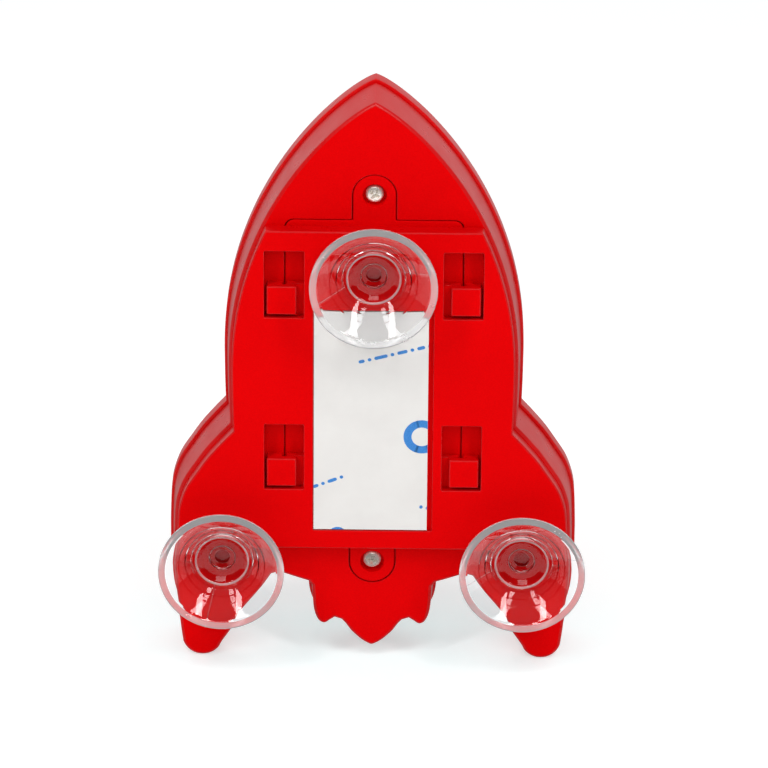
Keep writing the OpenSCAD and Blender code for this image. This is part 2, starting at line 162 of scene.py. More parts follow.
def finish_mesh(bm, name, mats, sharp=38, weighted=True):
    bmesh.ops.remove_doubles(bm, verts=bm.verts, dist=1e-7)
    bmesh.ops.dissolve_degenerate(bm, edges=bm.edges, dist=1e-7)
    bmesh.ops.recalc_face_normals(bm, faces=bm.faces)
    me = bpy.data.meshes.new(name)
    bm.to_mesh(me)
    bm.free()
    me.polygons.foreach_set("use_smooth", [True] * len(me.polygons))
    me.set_sharp_from_angle(angle=math.radians(sharp))
    ob = bpy.data.objects.new(name, me)
    scene.collection.objects.link(ob)
    for m in (mats if isinstance(mats, (list, tuple)) else [mats]):
        me.materials.append(m)
    if weighted:
        w = ob.modifiers.new("normals", "WEIGHTED_NORMAL")
        w.keep_sharp = True
        w.weight = 100
    return ob


def split_sides(ob, limit=0.985):
    """The second material, a darker copy of the red that paints shade, goes on walls and rounded edges, the first
    stays on the flat textured faces.
    """
    for f in ob.data.polygons:
        if abs(f.normal.y) < limit:
            f.material_index = 1


class Solid:
    """A moulded plate or shell: ring-by-ring walls and filled flat caps."""
    def __init__(self):
        self.bm = bmesh.new()
        self.cap = {0: [], 1: []}

    def wall(self, rings):
        vs = [[self.bm.verts.new(P(p, q)) for p in loop] for loop, q in rings]
        for a, b in zip(vs, vs[1:]):
            n = len(a)
            for i in range(n):
                self.bm.faces.new((a[i], a[(i + 1) % n], b[(i + 1) % n], b[i]))
        return vs[0], vs[-1]

    def outer(self, rings):
        a, b = self.wall(rings)
        self.cap[0].append(a); self.cap[1].append(b)

    def hole(self, rings, end="through", side=0, subs=()):
        a, b = self.wall(rings)
        self.cap[side].append(a)
        if end == "through":
            self.cap[1 - side].append(b)
            return
        floor = [b]
        for rs, e in subs:
            a2, b2 = self.wall(rs)
            floor.append(a2)
            if e == "through":
                self.cap[1 - side].append(b2)
            else:
                self.fill([b2])
        self.fill(floor)

    def fill(self, rings):
        edges = []
        for r in rings:
            for i in range(len(r)):
                pair = (r[i], r[(i + 1) % len(r)])
                edges.append(self.bm.edges.get(pair) or self.bm.edges.new(pair))
        bmesh.ops.triangle_fill(self.bm, use_beauty=True, use_dissolve=False, edges=edges)

    def close(self):
        for k in (0, 1):
            self.fill(self.cap[k])
        return self.bm


def add_box(bm, lo, hi, r, seg=3):
    """Box between two corners (x, q, z) with rounded edges."""
    tmp = bmesh.new()
    bmesh.ops.create_cube(tmp, size=1)
    for v in tmp.verts:
        v.co = Vector(((lo[0] + hi[0]) / 2 + v.co.x * (hi[0] - lo[0]),
                       YB - (lo[1] + hi[1]) / 2 + v.co.y * (hi[1] - lo[1]),
                       (lo[2] + hi[2]) / 2 + v.co.z * (hi[2] - lo[2]))) * MM
    if r > 0:
        bmesh.ops.bevel(tmp, geom=list(tmp.edges), offset=r * MM, segments=seg, profile=0.5, affect='EDGES')
    me = bpy.data.meshes.new("tmp")
    tmp.to_mesh(me); tmp.free()
    bm.from_mesh(me)
    bpy.data.meshes.remove(me)


def add_lathe(bm, prof, x, z, seg=96, phase=0.0):
    """Turned shape about an axis along Y. prof: (radius, height above the back face), closed through the axis or as a ring."""
    rings = []
    for r, h in prof:
        if r < 1e-6:
            rings.append([bm.verts.new(Vector((x, YB + h, z)) * MM)])
        else:
            rings.append([bm.verts.new(Vector((x + r * math.cos(phase + 2 * math.pi * i / seg), YB + h,
                                               z + r * math.sin(phase + 2 * math.pi * i / seg))) * MM) for i in range(seg)])
    closed = not (prof[0][0] < 1e-6 and prof[-1][0] < 1e-6)
    pairs = list(zip(rings, rings[1:])) + ([(rings[-1], rings[0])] if closed else [])
    for a, b in pairs:
        if len(a) == 1 and len(b) == 1:
            continue
        for i in range(seg):
            j = (i + 1) % seg
            if len(a) == 1:
                bm.faces.new((a[0], b[j], b[i]))
            elif len(b) == 1:
                bm.faces.new((a[i], a[j], b[0]))
            else:
                bm.faces.new((a[i], a[j], b[j], b[i]))


def smooth_profile(pts, radii, step=0.25):
    """Open profile with its inner corners rounded."""
    out = [pts[0]]
    for i in range(1, len(pts) - 1):
        r = radii[i]
        p0, p1, p2 = Vector(pts[i - 1]), Vector(pts[i]), Vector(pts[i + 1])
        u, v = (p0 - p1), (p2 - p1)
        lu, lv = u.length, v.length
        u.normalize(); v.normalize()
        half = math.acos(max(-1, min(1, u.dot(v)))) / 2
        if r <= 0 or half > math.radians(89):
            out.append(tuple(p1)); continue
        t = min(r / math.tan(half), lu * 0.49, lv * 0.49)
        rr = t * math.tan(half)
        c = p1 + (u + v).normalized() * (rr / math.sin(half))
        a, b = p1 + u * t, p1 + v * t
        a0 = math.atan2(a.y - c.y, a.x - c.x); a1 = math.atan2(b.y - c.y, b.x - c.x)
        da = (a1 - a0 + math.pi) % (2 * math.pi) - math.pi
        k = max(3, min(14, int(abs(da) * rr / step) + 2))
        out += [(c.x + rr * math.cos(a0 + da * j / k), c.y + rr * math.sin(a0 + da * j / k)) for j in range(k + 1)]
    out.append(pts[-1])
    return out


# ---------------------------------------------------------------------------
# materials
# ---------------------------------------------------------------------------
def new_mat(name):
    m = bpy.data.materials.new(name)
    m.use_nodes = True
    nt = m.node_tree
    return m, nt, nt.nodes["Principled BSDF"]


def tex_noise(nt, scale, detail=3.0, rough=0.5, vec=None):
    n = nt.nodes.new("ShaderNodeTexNoise")
    n.inputs["Scale"].default_value = scale
    n.inputs["Detail"].default_value = detail
    n.inputs["Roughness"].default_value = rough
    if vec is None:
        vec = coords(nt)
    nt.links.new(vec, n.inputs["Vector"])
    return n


def coords(nt):
    for n in nt.nodes:
        if n.type == "TEX_COORD":
            return n.outputs["Object"]
    return nt.nodes.new("ShaderNodeTexCoord").outputs["Object"]


def ramp(nt, src, stops):
    r = nt.nodes.new("ShaderNodeValToRGB")
    e = r.color_ramp.elements
    while len(e) < len(stops):
        e.new(0.5)
    for k, (p, c) in enumerate(stops):
        e[k].position = p
        e[k].color = c if len(c) == 4 else (*c, 1)
    nt.links.new(src, r.inputs[0])
    return r.outputs[0]


def rng(nt, src, a, b, lo, hi):
    m = nt.nodes.new("ShaderNodeMapRange")
    m.inputs["From Min"].default_value = a
    m.inputs["From Max"].default_value = b
    m.inputs["To Min"].default_value = lo
    m.inputs["To Max"].default_value = hi
    nt.links.new(src, m.inputs["Value"])
    return m.outputs[0]


def bump(nt, src, strength, dist, prev=None):
    b = nt.nodes.new("ShaderNodeBump")
    b.inputs["Strength"].default_value = strength
    b.inputs["Distance"].default_value = dist
    nt.links.new(src, b.inputs["Height"])
    if prev is not None:
        nt.links.new(prev, b.inputs["Normal"])
    return b.outputs[0]


def moulded(name, col, rough=0.34, grain=1.0, spec=0.22, vary=0.05, sss=0.0, coat=0.0):
    """Moulded plastic: fine spark-eroded grain, faint flow marks and uneven gloss."""
    m, nt, bs = new_mat(name)
    flow = tex_noise(nt, 26, 3, 0.55)
    speck = tex_noise(nt, 1900, 2, 0.6)
    both = nt.nodes.new("ShaderNodeMath"); both.operation = "MULTIPLY_ADD"
    nt.links.new(speck.outputs["Fac"], both.inputs[0]); both.inputs[1].default_value = 0.9 * grain
    half = nt.nodes.new("ShaderNodeMath"); half.operation = "MULTIPLY_ADD"
    nt.links.new(flow.outputs["Fac"], half.inputs[0]); half.inputs[1].default_value = 0.6; half.inputs[2].default_value = 0.2 - 0.45 * grain
    nt.links.new(half.outputs[0], both.inputs[2])
    c = ramp(nt, both.outputs[0], [(0.25, tuple(x * (1 - vary) for x in col)), (0.75, tuple(min(1, x * (1 + vary)) for x in col))])
    nt.links.new(c, bs.inputs["Base Color"])
    patches = tex_noise(nt, 90, 4, 0.6)
    nt.links.new(rng(nt, patches.outputs["Fac"], 0.3, 0.7, rough - 0.05, rough + 0.07), bs.inputs["Roughness"])
    fine = tex_noise(nt, 2600, 2, 0.5)
    mid = tex_noise(nt, 700, 2, 0.5)
    b = bump(nt, mid.outputs["Fac"], 0.16 * grain, 0.00010)
    b = bump(nt, fine.outputs["Fac"], 0.28 * grain, 0.00006, b)
    nt.links.new(b, bs.inputs["Normal"])
    bs.inputs["Specular IOR Level"].default_value = spec
    bs.inputs["Coat Weight"].default_value = coat
    if sss:
        bs.inputs["Subsurface Weight"].default_value = sss
        bs.inputs["Subsurface Scale"].default_value = 0.002
    return m


RED = (0.74, 0.0004, 0.0014)
red = moulded("red_abs", RED, rough=0.42, grain=1.0, spec=0.012, vary=0.06)
# darker, glossier copy of the red for walls and rounded edges: its lower base colour is painted shade on faces that
# turn away from the front
red_shaded_wall = moulded("red_abs_shaded_wall", (0.62, 0.0004, 0.0016), rough=0.30, grain=0.6, spec=0.3, vary=0.04)
red_front = moulded("red_abs_polished", RED, rough=0.3, grain=0.5, spec=0.3, vary=0.03)

# nickel plated steel
def metal(name, col, rough, scale=400, shine=1.0):
    m, nt, bs = new_mat(name)
    n = tex_noise(nt, scale, 4, 0.6)
    nt.links.new(ramp(nt, n.outputs["Fac"], [(0.3, tuple(x * 0.9 for x in col)), (0.7, col)]), bs.inputs["Base Color"])
    bs.inputs["Metallic"].default_value = shine
    nt.links.new(rng(nt, n.outputs["Fac"], 0.3, 0.7, rough, rough + 0.14), bs.inputs["Roughness"])
    s = tex_noise(nt, 5200, 2, 0.5)
    nt.links.new(bump(nt, s.outputs["Fac"], 0.2, 0.00004), bs.inputs["Normal"])
    return m

nickel = metal("nickel_plate", (0.97, 0.92, 0.84), 0.18, 500, 0.55)
spring_metal = metal("spring_steel", (0.62, 0.61, 0.58), 0.25)
silver = metal("silver_paint", (0.72, 0.73, 0.75), 0.26, 300)

# clear soft PVC
def pvc():
    m, nt, bs = new_mat("clear_pvc")
    bs.inputs["Base Color"].default_value = (0.985, 0.99, 1.0, 1)
    bs.inputs["Transmission Weight"].default_value = 1.0
    bs.inputs["IOR"].default_value = 1.46
    n = tex_noise(nt, 150, 3, 0.6)
    nt.links.new(rng(nt, n.outputs["Fac"], 0.35, 0.7, 0.0, 0.012), bs.inputs["Roughness"])
    w = tex_noise(nt, 200, 2, 0.5)
    nt.links.new(bump(nt, w.outputs["Fac"], 0.05, 0.0003), bs.inputs["Normal"])
    return m

clear = pvc()

# the sealing rim and the bead ring get a finely matted, milky copy of the PVC; its milky white is a painted glint that
# stands in for the internal reflection and highlight there
m, nt, bs = new_mat("clear_pvc_painted_glint")
bs.inputs["Base Color"].default_value = (0.98, 0.98, 0.99, 1)
bs.inputs["Transmission Weight"].default_value = 0.7
bs.inputs["IOR"].default_value = 1.46
n = tex_noise(nt, 160, 4, 0.65)
nt.links.new(rng(nt, n.outputs["Fac"], 0.3, 0.7, 0.05, 0.3), bs.inputs["Roughness"])
nt.links.new(bump(nt, n.outputs["Fac"], 0.4, 0.0004), bs.inputs["Normal"])
pvc_painted_glint = m

# ---------------------------------------------------------------------------
# outline of the rocket
# ---------------------------------------------------------------------------
TOTAL, NOSE_Z, FUSE = 197.3, 104.0, 48.6
FLAME = [(0, 2.4), (1.9, 3.0), (4.2, 4.4), (6.3, 6.25), (8.2, 8.2), (9.6, 10.2), (10.6, 11.5), (11.6, 12.2),
         (12.6, 11.7), (14.0, 10.65), (15.8, 10.15), (18.2, 11.1), (19.8, 13.4), (20.8, 16.8), (21.2, 21.1), (21.4, 25.2)]
UNDER = [(21.8, 25.75), (24.5, 26.6), (28.9, 28.1), (30.6, 28.8)]
FIN = [(31.4, 28.6), (35.3, 23.3), (40.4, 16.5), (44.0, 10.4)] + arc(55.7, 7.62, 7.6, 205, 338, 14) + \
      [(64.7, 12.2), (65.95, 18.5), (66.45, 25), (66.6, 31), (66.6, 37.5), (66.55, 43.5), (66.1, 53.9), (65.1, 59.3), (63.0, 64.8),
       (59.6, 70.2), (55.9, 75.6), (51.4, 81)]


def nose_w(z):
    return FUSE * max(0.0, 1 - ((z - NOSE_Z) / (TOTAL - NOSE_Z)) ** 2.1) ** 0.8


def rocket_loop(step=1.1):
    flame = catmull([(-x, z) for x, z in FLAME[:0:-1]] + FLAME, step)
    under = resample(UNDER, step)
    fin = catmull(FIN, step)
    nose = [(48.2, 84.5), (48.35, 88), (48.5, 94)]
    nose += [(nose_w(NOSE_Z + (TOTAL - NOSE_Z) * math.sin(math.pi / 2 * t / 60)), NOSE_Z + (TOTAL - NOSE_Z) * math.sin(math.pi / 2 * t / 60)) for t in range(61)]
    nose = resample(nose, step)
    right = under + fin + nose
    loop = flame + right + [(-x, z) for x, z in right[-2::-1]]
    # drop points that fall together
    out = [loop[0]]
    for p in loop[1:]:
        if math.dist(p, out[-1]) > 0.08:
            out.append(p)
    if math.dist(out[0], out[-1]) < 0.08:
        out.pop()
    return ccw(out)


BODY = rocket_loop()
BOSS = [(40, 101), (51, 54), (-40, 101), (-51, 54)]
SCREWS = (164.0, 35.0)
WINX, WINZ = 28.7, (74.55, 135.05)
LENS_Z = 131.0

# ---------------------------------------------------------------------------
# rear casing with its four hooks
# ---------------------------------------------------------------------------
def door_loop(g, r=3.0):
    h, z0, z1, t, u = 28.4 + g, 43.4 - g, 155.5 + g, 6.85 + g, 7.3 + g
    top = arc(0, SCREWS[0], t, 0, 180, 24)
    low = arc(0, SCREWS[1], u, 180, 360, 24)
    def corner(cx, cz, a0):
        return arc(cx, cz, r, a0, a0 + 90, 6)
    pts = []
    pts += corner(h - r, z1 - r, 0)                 # top right corner
    pts += [(t, z1)] + top + [(-t, z1)]
    pts += corner(-h + r, z1 - r, 90)
    pts += corner(-h + r, z0 + r, 180)
    pts += [(-u, z0)] + low + [(u, z0)]
    pts += corner(h - r, z0 + r, 270)
    # the straight runs get points too, so the walls stay even
    out = []
    for a, b in zip(pts, pts[1:] + pts[:1]):
        k = max(1, int(math.dist(a, b) / 4))
        out += [(a[0] + (b[0] - a[0]) * j / k, a[1] + (b[1] - a[1]) * j / k) for j in range(k)]
    return ccw(out)


def rear_in(d):
    """Inset outline of the rear half; both halves reach the standing surface at the fin tips."""
    out = []
    for o, p in zip(BODY, inset(BODY, d)):
        k = min(1.0, max(0.02, o[1] / 13)) if abs(o[0]) > 35 else 1.0
        out.append((o[0] + (p[0] - o[0]) * k, o[1] + (p[1] - o[1]) * k))
    return out


s = Solid()
back0 = rear_in(1.8)
rings = rounded(back0, 1.4, 0.0, 1, n=6)
rings += [(rear_in(1.65), 4.0), (rear_in(1.3), 10.0), (rear_in(0.95), 15.9), (rear_in(1.05), 16.2), (inset(rear_in(1.05), 0.3), 16.35)]
inner = inset(BODY, 3.6)
rings += [(inner, 16.35), (inner, 4.4)]
s.outer(rings)
seat = door_loop(0.34)
bay = fillet([(-28.2, 45.8), (28.2, 45.8), (28.2, 108.2), (-28.2, 108.2)], 1.0)
s.hole(rounded(seat, 0.12, 0.0, 1, hole=True, n=2) + [(seat, 2.2)], end="floor",
       subs=[([(bay, 2.2), (bay, 4.4)], "through")] + [([(circle(0, z, 5.35), 2.2), (circle(0, z, 5.35), 4.4)], "through") for z in SCREWS])
for x, z in BOSS:
    s.hole([(circle(x, z, 3.4), 0.0), (circle(x, z, 3.2), 0.25), (circle(x, z, 3.2), 4.4)], end="through")
bm = s.close()
for x, z in BOSS:
    add_lathe(bm, [(3.2, -4.3), (3.2, -9), (1.7, -9), (1.7, -16.4), (4.2, -16.4), (4.2, -4.3)], x, z, 40)
for z in SCREWS:
    add_lathe(bm, [(5.35, -4.3), (1.5, -4.35), (1.5, -12.5), (6.6, -13), (6.6, -4.3)], 0, z, 40)
# hooks: a stem beside the door and a head that reaches over it
for sx in (-1, 1):
    for zc in WINZ:
        xs = sorted((sx * 29.3, sx * 34.2)); xh = sorted((sx * 24.7, sx * 34.3))
        add_box(bm, (xs[0], -4.6, zc - 10.3), (xs[1], 0.15, zc - 0.75), 0.25, 2)
        add_box(bm, (xh[0], -4.95, zc - 10.4), (xh[1], -2.45, zc - 0.65), 0.45, 3)
rear = finish_mesh(bm, "rear_shell", [red, red_shaded_wall])
split_sides(rear)
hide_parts("rear_casing")
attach(rear, "rocket")

# battery door
s = Solid()
dl = door_loop(0.0)
s.outer(rounded(dl, 0.45, 0.0, 1, n=4) + [(dl, 2.05)])
for z in SCREWS:
    cb = circle(0, z, 3.85, 64)
    s.hole(rounded(cb, 0.2, 0.0, 1, hole=True, n=3) + [(cb, 2.0)], end="through")
bm = s.close()
for z in SCREWS:
    add_lathe(bm, [(3.85, -2.0), (3.85, -2.8), (1.7, -2.8), (1.7, -4.2), (5.1, -4.2), (5.1, -2.0)], 0, z, 64)
door = finish_mesh(bm, "door_panel", red)
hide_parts("battery_door")
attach(door, "rocket")

# ---------------------------------------------------------------------------
# front casing: side wall, face and raised fuselage with a porthole
# ---------------------------------------------------------------------------
def fuse_w(z):
    return nose_w(z) if z > NOSE_Z else FUSE - 17.1 * ((NOSE_Z - z) / 76) ** 2


def fuse_loop(d, z0, z1):
    right = [(fuse_w(z0 + (z1 - z0) * i / 90) - d, z0 + (z1 - z0) * i / 90) for i in range(91)]
    pts = resample(right, 1.4)
    loop = pts + [(-x, z) for x, z in pts[::-1]]
    return ccw(loop)


s = Solid()
face = inset(BODY, 0.0)
rings = rounded(face, 2.4, 24.0, -1, n=7)
rings += [(inset(BODY, 0.0), 19.5), (inset(BODY, 0.0), 17.1), (inset(BODY, 0.12), 16.85), (inset(BODY, 0.45), 16.7)]
rings += [(inner, 16.7), (inner, 21.8)]
s.outer(rings)
pad = fuse_loop(3.6, 36.4, 185.0)
foot = offset(pad, -0.35)
pr = [(foot, 24.0), (offset(pad, -0.1), 24.12), (pad, 24.4)]
pr += [(l, q) for l, q in rounded(pad, 2.6, 27.5, -1, n=7)][::-1]
port = circle(0, LENS_Z, 22.0, 96)
s.hole(pr, end="floor", subs=[([(port, 27.5), (port, 25.3), (circle(0, LENS_Z, 24.4, 96), 25.3), (circle(0, LENS_Z, 24.4, 96), 21.8)], "through")])
bm = s.close()
for x, z in BOSS:
    add_lathe(bm, [(1.5, -16.7), (1.5, -21.9), (4.2, -21.9), (4.2, -16.7)], x, z, 40)
for a in (90, 210, 330):
    px, pz = 26 * math.cos(math.radians(a)), LENS_Z + 26 * math.sin(math.radians(a))
    add_lathe(bm, [(1.05, -20.25), (1.05, -25.3), (2.6, -25.4), (2.6, -20.25)], px, pz, 32)
front = finish_mesh(bm, "front_shell", [red_front, red_shaded_wall])
split_sides(front, 0.5)
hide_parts("front_casing")
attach(front, "rocket")

# ---------------------------------------------------------------------------
# wall bracket
# ---------------------------------------------------------------------------
CUPS = {"cup_top": (0.0, 138.8), "cup_left": (-48.8, 38.6), "cup_right": (48.8, 38.6)}


def bracket_loop():
    base = inset(BODY, 3.05)
    z0, z1 = 41.9, 153.5
    # right side of the outline between the two edges
    right = [p for p in base if p[0] > 0 and p[1] > 20]
    start = min(range(len(right)), key=lambda i: abs(right[i][1] - 37.5) + (0 if right[i][0] > 56 else 100))
    side = [p for p in right[start:] if p[1] < z1 - 0.05]
    last = side[-1]
    side.append((last[0] - (z1 - last[1]) * 0.55, z1))
    # pad about the cup's hole, from the outer side round to the bottom edge
    cx, cz, r = 48.8, 38.6, 10.5
    a_in = math.degrees(math.asin((z0 - cz) / r))          # where the pad meets the bottom edge
    a_out = math.degrees(math.atan2(side[0][1] - cz, side[0][0] - cx))
    pad = arc(cx, cz, r, 180 - a_in, 360 + min(a_out, 0) - 4, 26)
    pad = [p for p in pad if p[0] < 61.3 - 0.0]
    half = [(0.0, z0), (12, z0), (25, z0)] + pad + side
    loop = half + [(-x, z) for x, z in half[:0:-1]]
    return ccw(loop)


bl = bracket_loop()
s = Solid()
s.outer(rounded(bl, 0.5, -5.0, 1, n=4) + [(offset(bl, -0.12), -0.35), (bl, -0.1)])
for sx in (-1, 1):
    for zc in WINZ:
        w = fillet([(sx * WINX - 6.35, zc - 11.5), (sx * WINX + 6.35, zc - 11.5), (sx * WINX + 6.35, zc + 11.5), (sx * WINX - 6.35, zc + 11.5)], 0.35, 0.2)
        s.hole(rounded(w, 0.25, -5.0, 1, hole=True, n=3) + [(w, -0.1)], end="through")
rec = fillet([(-19.3, 48.45), (19.3, 48.45), (19.3, 126.45), (-19.3, 126.45)], 0.5, 0.25)
s.hole(rounded(rec, 0.22, -5.0, 1, hole=True, n=3) + [(rec, -3.8)], end="floor")
for x, z in CUPS.values():
    c0, c1, c2 = circle(x, z, 4.5), circle(x, z, 2.6), circle(x, z, 4.4)
    s.hole([(c0, -5.0), (c0, -3.0), (c1, -2.95), (c1, -2.6), (c2, -2.55), (c2, -0.1)], end="through")
bm = s.close()
# ledges that the hook heads grip
for sx in (-1, 1):
    for zc in WINZ:
        xl = sorted((sx * 21.9, sx * 27.8))
        add_box(bm, (xl[0], -2.2, zc - 12.0), (xl[1], -0.15, zc - 0.6), 0.2, 2)
bracket = finish_mesh(bm, "bracket_plate", [red, red_shaded_wall])
split_sides(bracket)
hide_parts("wall_bracket")
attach(bracket, "bracket")

# ---------------------------------------------------------------------------
# foam tape and its liner
# ---------------------------------------------------------------------------
m, nt, bs = new_mat("foam")
n = tex_noise(nt, 1500, 4, 0.6)
nt.links.new(ramp(nt, n.outputs["Fac"], [(0.3, (0.70, 0.69, 0.64)), (0.7, (0.86, 0.85, 0.80))]), bs.inputs["Base Color"])
bs.inputs["Roughness"].default_value = 0.85
nt.links.new(bump(nt, n.outputs["Fac"], 0.5, 0.0002), bs.inputs["Normal"])
foam_mat = m

m, nt, bs = new_mat("liner_paper")
n = tex_noise(nt, 60, 4, 0.6)
nt.links.new(ramp(nt, n.outputs["Fac"], [(0.3, (0.80, 0.772, 0.75)), (0.7, (0.85, 0.825, 0.80))]), bs.inputs["Base Color"])
f = tex_noise(nt, 2200, 3, 0.6)
nt.links.new(bump(nt, f.outputs["Fac"], 0.15, 0.00005, bump(nt, n.outputs["Fac"], 0.2, 0.0003)), bs.inputs["Normal"])
nt.links.new(rng(nt, n.outputs["Fac"], 0.3, 0.7, 0.38, 0.5), bs.inputs["Roughness"])
liner_mat = m

m, nt, bs = new_mat("liner_print")
n = tex_noise(nt, 3000, 3, 0.6)
nt.links.new(ramp(nt, n.outputs["Fac"], [(0.35, (0.02, 0.20, 0.62)), (0.75, (0.06, 0.30, 0.75))]), bs.inputs["Base Color"])
bs.inputs["Roughness"].default_value = 0.45
nt.links.new(bump(nt, n.outputs["Fac"], 0.2, 0.00003), bs.inputs["Normal"])
print_mat = m

TX, TZ0, TZ1, TW = 0.7, 48.85, 126.05, 36.8
bm = bmesh.new()
add_box(bm, (TX - TW / 2 + 0.05, -4.68, TZ0 + 0.05), (TX + TW / 2 - 0.05, -3.8, TZ1 - 0.05), 0.12, 2)
foam = finish_mesh(bm, "foam_pad", foam_mat)
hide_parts("tape_foam")
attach(foam, "bracket")


def liner_h(x, z):
    """Height of the liner over the back face, with a faint curl at its edges."""
    ex = max(0.0, (abs(x - TX) - 15.5) / 3.0); ez = max(0.0, (TZ0 + 3 - z) / 3.0, (z - TZ1 + 3) / 3.0)
    curl = 0.04 * (ex * ex + ez * ez)
    w = noise.noise(Vector((x * 0.06, z * 0.05, 3.1)))
    return 4.80 + min(0.07, curl) + 0.02 * w


bm = bmesh.new()
nx, nz = 38, 78
top = [[bm.verts.new(Vector((TX - TW / 2 + TW * i / nx, YB + liner_h(TX - TW / 2 + TW * i / nx, TZ0 + (TZ1 - TZ0) * j / nz), TZ0 + (TZ1 - TZ0) * j / nz)) * MM) for i in range(nx + 1)] for j in range(nz + 1)]
bot = [[bm.verts.new(v.co - Vector((0, 0.09 * MM, 0))) for v in row] for row in top]
for j in range(nz):
    for i in range(nx):
        bm.faces.new((top[j][i], top[j][i + 1], top[j + 1][i + 1], top[j + 1][i]))
        bm.faces.new((bot[j][i], bot[j + 1][i], bot[j + 1][i + 1], bot[j][i + 1]))
for i in range(nx):
    bm.faces.new((top[0][i], bot[0][i], bot[0][i + 1], top[0][i + 1]))
    bm.faces.new((top[nz][i], top[nz][i + 1], bot[nz][i + 1], bot[nz][i]))
for j in range(nz):
    bm.faces.new((top[j][0], top[j + 1][0], bot[j + 1][0], bot[j][0]))
    bm.faces.new((top[j][nx], bot[j][nx], bot[j + 1][nx], top[j + 1][nx]))
liner = finish_mesh(bm, "liner_sheet", liner_mat)
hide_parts("tape_liner")
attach(liner, "bracket")

# plain printed marks: dashes, dots and a ring, cut off at the liner's edge
def clip(poly):
    for ax, lim, sg in ((0, TX - TW / 2 + 0.02, 1), (0, TX + TW / 2 - 0.02, -1), (1, TZ0 + 0.02, 1), (1, TZ1 - 0.02, -1)):
        out = []
        for a, b in zip(poly, poly[1:] + poly[:1]):
            ia, ib = sg * (a[ax] - lim) >= 0, sg * (b[ax] - lim) >= 0
            if ia:
                out.append(a)
            if ia != ib:
                t = (lim - a[ax]) / (b[ax] - a[ax])
                out.append((a[0] + (b[0] - a[0]) * t, a[1] + (b[1] - a[1]) * t))
        poly = out
        if len(poly) < 3:
            return []
    return poly


marks = []
def dash(cx, cz, l, w, ang):
    u = (math.cos(math.radians(ang)), math.sin(math.radians(ang))); v = (-u[1], u[0])
    k = 8
    pts = []
    for sgn, a0 in ((1, -90), (-1, 90)):
        for i in range(k + 1):
            a = math.radians(a0 + 180 * i / k)
            lx, lz = sgn * (l / 2 - w / 2) + w / 2 * math.cos(a), w / 2 * math.sin(a)
            pts.append((cx + lx * u[0] + lz * v[0], cz + lx * u[1] + lz * v[1]))
    # the outline stays whole; its corners follow the liner's height when the marks are built
    marks.append(pts)


def ring_mark(cx, cz, r0, r1, a0=0, a1=360):
    k = max(6, int((a1 - a0) / 9))
    for i in range(k):
        b0, b1 = math.radians(a0 + (a1 - a0) * i / k), math.radians(a0 + (a1 - a0) * (i + 1) / k)
        marks.append([(cx + r0 * math.cos(b0), cz + r0 * math.sin(b0)), (cx + r1 * math.cos(b0), cz + r1 * math.sin(b0)),
                      (cx + r1 * math.cos(b1), cz + r1 * math.sin(b1)), (cx + r0 * math.cos(b1), cz + r0 * math.sin(b1))])


def dash_row(cx, cz, ang, lengths, w=1.15, gap=1.0):
    u = (math.cos(math.radians(ang)), math.sin(math.radians(ang)))
    s_ = 0.0
    for l in lengths:
        c = s_ + l / 2
        dash(cx + u[0] * c, cz + u[1] * c, l, w, ang)
        s_ += l + gap


# x runs to the left in the view from the back
dash_row(-18.9, 114.4, -14.5, [1.4, 2.6, 1.2, 3.4, 1.2, 4.4, 1.2, 2.0])
dash_row(19.4, 63.9, 158.5, [2.0, 1.2, 3.2, 1.2])
dash_row(-18.9, 56.6, 10, [1.6, 1.1], 1.3)
ring_mark(-15.8, 82.2, 3.3, 5.9, 100, 460)
ring_mark(11.3, 46.6, 1.3, 3.1)
bm = bmesh.new()
for poly in marks:
    c = clip(poly)
    if len(c) < 3:
        continue
    area = abs(sum(a[0] * b[1] - b[0] * a[1] for a, b in zip(c, c[1:] + c[:1])) / 2)
    if area < 0.01:
        continue
    hi = [bm.verts.new(Vector((x, YB + liner_h(x, z) + 0.018, z)) * MM) for x, z in c]
    lo = [bm.verts.new(Vector((x, YB + liner_h(x, z) - 0.03, z)) * MM) for x, z in c]
    bm.faces.new(hi)
    bm.faces.new(lo[::-1])
    for i in range(len(c)):
        j = (i + 1) % len(c)
        bm.faces.new((hi[i], lo[i], lo[j], hi[j]))
bmesh.ops.recalc_face_normals(bm, faces=bm.faces)
prints = finish_mesh(bm, "liner_marks", print_mat, weighted=False)
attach(prints, "bracket")

# ---------------------------------------------------------------------------
# suction cups
# ---------------------------------------------------------------------------
OUTER_PROF = [(0, 0.75), (3.3, 0.75), (3.9, 1.2), (3.9, 2.2), (2.5, 2.55), (2.5, 3.0), (4.2, 3.1), (4.2, 5.15), (6.6, 5.15), (8.6, 5.9), (10.4, 7.4), (10.7, 7.85),
              (12.3, 9.15), (12.6, 9.6), (14.3, 11.0), (14.6, 11.4), (19.0, 15.1), (20.45, 16.1), (20.45, 17.0)]
OUTER_R = [0, 0.5, 0.6, 0.5, 0.2, 0.1, 0.3, 0.2, 1.2, 1.0, 0.3, 0.3, 0.3, 0.3, 0.3, 0.3, 1.2, 0.4, 0]
INNER_PROF = [(20.45, 17.0), (18.3, 17.0), (17.7, 16.25), (8.85, 8.5), (8.65, 8.85), (8.35, 8.85), (8.15, 8.05), (0, 8.05)]
INNER_R = [0, 0.3, 0.6, 0.15, 0.15, 0.15, 0.15, 0]


